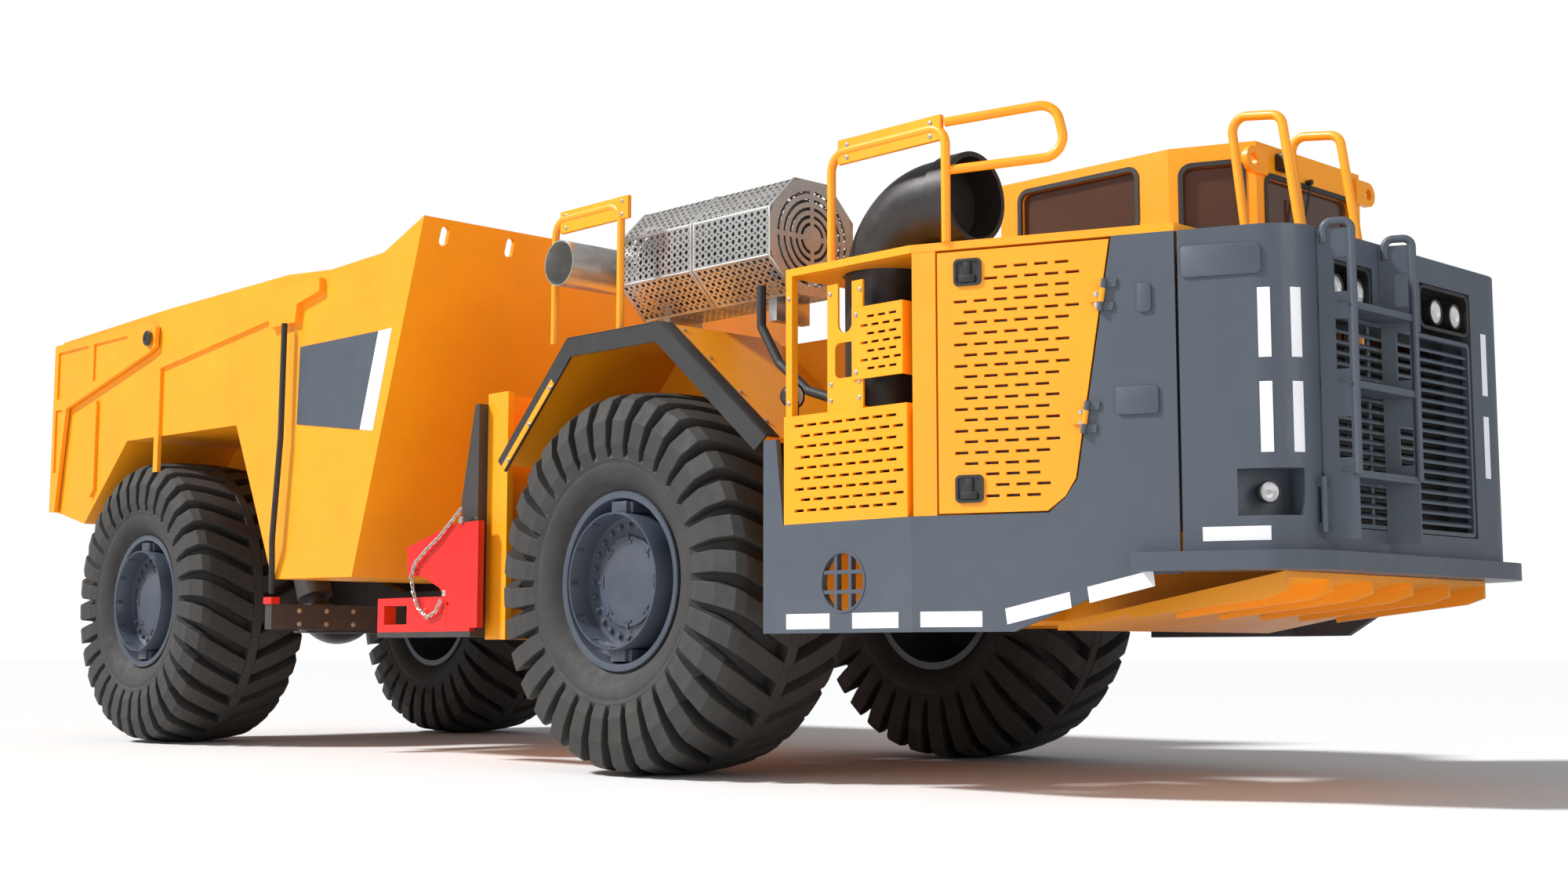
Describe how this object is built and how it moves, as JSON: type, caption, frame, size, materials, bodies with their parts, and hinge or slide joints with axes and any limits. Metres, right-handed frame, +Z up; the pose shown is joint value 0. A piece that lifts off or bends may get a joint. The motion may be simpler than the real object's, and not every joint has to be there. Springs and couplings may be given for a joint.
{
  "type": "articulated underground dump truck",
  "caption": "Low-profile articulated dump truck: cab and engine unit hinged to a rear unit with a tipping box, tailgate, hoists and four large wheels.",
  "frame": {"origin": "on the ground midway along the machine on its centreline", "axes": "+X forward, +Y to the machine's left, +Z up"},
  "size_m": [10.5358, 3.3478, 3.21],
  "materials": {
    "yellow_paint": "semi-gloss enamel",
    "grey_paint": "satin enamel",
    "dark_paint": "satin enamel",
    "tyre_rubber": "matt rubber",
    "black_rubber": "matt rubber",
    "black_plastic": "satin plastic",
    "stainless": "brushed sheet",
    "rim_paint": "semi-gloss enamel",
    "red_paint": "gloss enamel",
    "cab_glass": "tinted glass",
    "lamp_glass": "clear lens",
    "chrome_rod": "polished chrome",
    "seat_fabric": "woven cloth",
    "iron": "painted casting",
    "rope_black": "coated rope"
  },
  "bodies": {
    "front_unit": {"front_frame": "yellow_paint", "side_panel_right": "grey_paint", "side_panel_left": "grey_paint", "hood": "grey_paint", "front_bumper": "grey_paint", "belly_guard": "yellow_paint", "front_grille": "grey_paint", "lamps": "lamp_glass", "battery_box": "yellow_paint", "battery_bracket": "yellow_paint", "side_guard": "yellow_paint", "drain_hose": "black_rubber", "work_lamp": "black_plastic", "top_deck": "yellow_paint", "centre_cover": "yellow_paint", "fender_right": "yellow_paint", "fender_left": "yellow_paint", "fender_seals": "black_rubber", "intake_pipe": "black_plastic", "muffler_guard": "stainless", "muffler_end_plate": "stainless", "exhaust_pipe": "stainless", "handrail_rear": "yellow_paint", "handrail_front": "yellow_paint", "hood_rails": "yellow_paint", "cab_shell": "yellow_paint", "cab_windows": "cab_glass", "operator_seat": "seat_fabric", "cab_console": "black_plastic", "engine_block": "iron", "front_axle": "grey_paint", "hitch_pin": "dark_paint", "steering_lock": "red_paint", "lock_tower": "dark_paint"},
    "ladder": {"ladder_gate": "grey_paint"},
    "engine_door": {"engine_door_right": "yellow_paint"},
    "cab_door": {"cab_door": "yellow_paint", "cab_door_window": "cab_glass"},
    "rear_unit": {"rear_frame": "dark_paint", "rear_axle": "grey_paint", "rope_anchors": "red_paint"},
    "dump_box": {"dump_box": "yellow_paint", "tailgate_ropes": "rope_black"},
    "tailgate": {"tailgate": "yellow_paint"},
    "hoist_barrels": {"hoist_barrels": "dark_paint"},
    "hoist_stages_lower": {"hoist_stages_lower": "chrome_rod"},
    "hoist_stages_upper": {"hoist_stages_upper": "chrome_rod"},
    "hoist_rods": {"hoist_rods": "chrome_rod"},
    "steering_barrel_left": {"steering_barrel_left": "dark_paint"},
    "steering_rod_left": {"steering_rod_left": "chrome_rod"},
    "steering_barrel_right": {"steering_barrel_right": "dark_paint"},
    "steering_rod_right": {"steering_rod_right": "chrome_rod"},
    "wheel_front_left": {"tyre_front_left": "tyre_rubber", "rim_front_left": "rim_paint"},
    "wheel_front_right": {"tyre_front_right": "tyre_rubber", "rim_front_right": "rim_paint"},
    "wheel_rear_left": {"tyre_rear_left": "tyre_rubber", "rim_rear_left": "rim_paint"},
    "wheel_rear_right": {"tyre_rear_right": "tyre_rubber", "rim_rear_right": "rim_paint"}
  },
  "joints": [
    {"name": "steer", "type": "hinge", "parent": "front_unit", "child": "rear_unit", "pos_m": [-1.1275, 0, 0.9], "axis": [0, 0, 1], "range_deg": [-42, 42]},
    {"name": "roll_front_left", "type": "hinge", "parent": "front_unit", "child": "wheel_front_left", "pos_m": [1.52, 1.218, 0.997], "axis": [0, 1, 0], "continuous": true},
    {"name": "roll_front_right", "type": "hinge", "parent": "front_unit", "child": "wheel_front_right", "pos_m": [1.52, -1.218, 0.997], "axis": [0, 1, 0], "continuous": true},
    {"name": "roll_rear_left", "type": "hinge", "parent": "rear_unit", "child": "wheel_rear_left", "pos_m": [-3.775, 1.218, 0.997], "axis": [0, 1, 0], "continuous": true},
    {"name": "roll_rear_right", "type": "hinge", "parent": "rear_unit", "child": "wheel_rear_right", "pos_m": [-3.775, -1.218, 0.997], "axis": [0, 1, 0], "continuous": true},
    {"name": "box_raise", "type": "hinge", "parent": "rear_unit", "child": "dump_box", "pos_m": [-4.775, 0, 1.4], "axis": [0, -1, 0], "range_deg": [0, 65]},
    {"name": "tailgate_swing", "type": "hinge", "parent": "dump_box", "child": "tailgate", "pos_m": [-3.7, 0, 2.865], "axis": [0, 1, 0], "range_deg": [0, 50]},
    {"name": "hoist_swing", "type": "hinge", "parent": "rear_unit", "child": "hoist_barrels", "pos_m": [-2.075, 0, 0.9], "axis": [0, -1, 0], "range_deg": [0, 18]},
    {"name": "hoist_slide_lower", "type": "slide", "parent": "hoist_barrels", "child": "hoist_stages_lower", "axis": [-0.387, 0, 0.9221], "range_m": [0, 0.805]},
    {"name": "hoist_slide_upper", "type": "slide", "parent": "hoist_stages_lower", "child": "hoist_stages_upper", "axis": [-0.387, 0, 0.9221], "range_m": [0, 0.805]},
    {"name": "hoist_slide_rod", "type": "slide", "parent": "hoist_stages_upper", "child": "hoist_rods", "axis": [-0.387, 0, 0.9221], "range_m": [0, 0.805]},
    {"name": "steering_swing_left", "type": "hinge", "parent": "front_unit", "child": "steering_barrel_left", "pos_m": [0.12, 0.6, 0.97], "axis": [0, 0, 1], "range_deg": [-8, 8]},
    {"name": "steering_slide_left", "type": "slide", "parent": "steering_barrel_left", "child": "steering_rod_left", "axis": [-0.999, -0.0443, 0], "range_m": [-0.4, 0.4]},
    {"name": "steering_swing_right", "type": "hinge", "parent": "front_unit", "child": "steering_barrel_right", "pos_m": [0.12, -0.6, 0.97], "axis": [0, 0, 1], "range_deg": [-8, 8]},
    {"name": "steering_slide_right", "type": "slide", "parent": "steering_barrel_right", "child": "steering_rod_right", "axis": [-0.999, 0.0443, 0], "range_m": [-0.4, 0.4]},
    {"name": "engine_door_swing", "type": "hinge", "parent": "front_unit", "child": "engine_door", "pos_m": [4.2632, -1.30254, 1.372], "axis": [0.1423, 0.0589, 0.9881], "range_deg": [0, 100]},
    {"name": "cab_door_swing", "type": "hinge", "parent": "front_unit", "child": "cab_door", "pos_m": [2.814, 1.592, 2], "axis": [0, 0, 1], "range_deg": [0, 85]},
    {"name": "ladder_swing", "type": "hinge", "parent": "front_unit", "child": "ladder", "pos_m": [5.142, -0.797, 1.235], "axis": [0, 0, -1], "range_deg": [0, 110]}
  ],
  "couplings": [
    {"joint": "tailgate_swing", "follows": "box_raise", "ratio": 0.7677},
    {"joint": "hoist_swing", "follows": "box_raise", "ratio": 0.2622},
    {"joint": "hoist_slide_lower", "follows": "box_raise", "m_per_rad": 0.7076},
    {"joint": "hoist_slide_upper", "follows": "box_raise", "m_per_rad": 0.7076},
    {"joint": "hoist_slide_rod", "follows": "box_raise", "m_per_rad": 0.7076},
    {"joint": "steering_swing_left", "follows": "steer", "ratio": 0.1637},
    {"joint": "steering_slide_left", "follows": "steer", "m_per_rad": 0.5169},
    {"joint": "steering_swing_right", "follows": "steer", "ratio": 0.1637},
    {"joint": "steering_slide_right", "follows": "steer", "m_per_rad": -0.5169}
  ]
}
